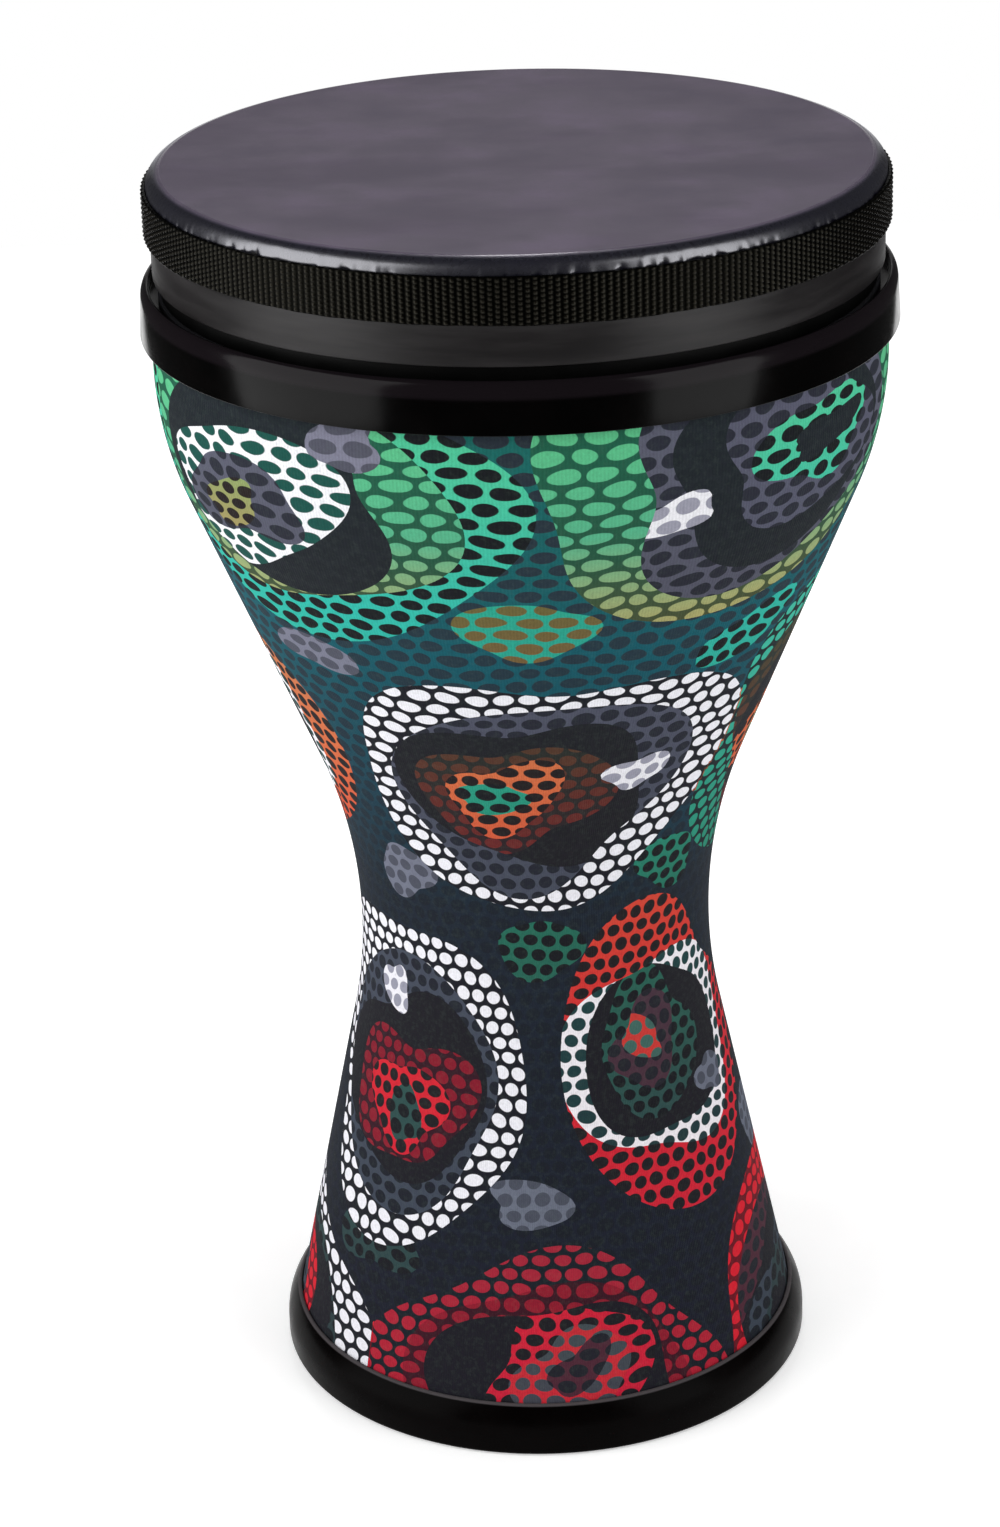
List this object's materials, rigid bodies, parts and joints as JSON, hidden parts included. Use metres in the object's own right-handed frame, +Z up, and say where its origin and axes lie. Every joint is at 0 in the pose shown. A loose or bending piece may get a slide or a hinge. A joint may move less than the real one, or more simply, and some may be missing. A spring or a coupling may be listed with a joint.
{
  "type": "goblet drum",
  "caption": "Goblet drum on its foot: tuned head on a rigid frame that drops into a collar, hourglass shell in a printed knit sleeve, rubber foot ring, open underneath.",
  "frame": {"origin": "on the drum's axis, on the floor under the foot ring", "axes": "+Z up along the drum's axis, towards the playing surface; the webbing's joint is at +Y, the back"},
  "size_m": [0.3126, 0.3126, 0.546],
  "materials": {
    "playing_film": "matt, slightly mottled",
    "frame_laminate": "satin",
    "nylon_webbing": "ribbed weave",
    "skirt_plastic": "satin",
    "collar_plastic": "gloss",
    "gasket_foam": "matt",
    "shell_laminate": "matt",
    "coupler_laminate": "matt",
    "printed_knit": "printed knit",
    "foot_rubber": "satin",
    "screw_steel": "plain"
  },
  "bodies": {
    "drum_shell": {"bowl_shell": "shell_laminate", "stem_shell": "shell_laminate", "throat_coupler": "coupler_laminate", "printed_sleeve": "printed_knit", "collar_ring": "collar_plastic", "seat_gasket": "gasket_foam", "foot_ring": "foot_rubber", "collar_screw_1": "screw_steel", "collar_screw_2": "screw_steel", "collar_screw_3": "screw_steel", "collar_screw_4": "screw_steel", "collar_screw_5": "screw_steel", "collar_screw_6": "screw_steel", "collar_screw_7": "screw_steel", "collar_screw_8": "screw_steel"},
    "head": {"head_film": "playing_film", "head_frame": "frame_laminate", "webbing_band": "nylon_webbing", "locating_skirt": "skirt_plastic"}
  },
  "joints": [
    {"name": "head_lift", "type": "slide", "parent": "drum_shell", "child": "head", "axis": [0, 0, 1], "range_m": [0, 0.08]}
  ]
}
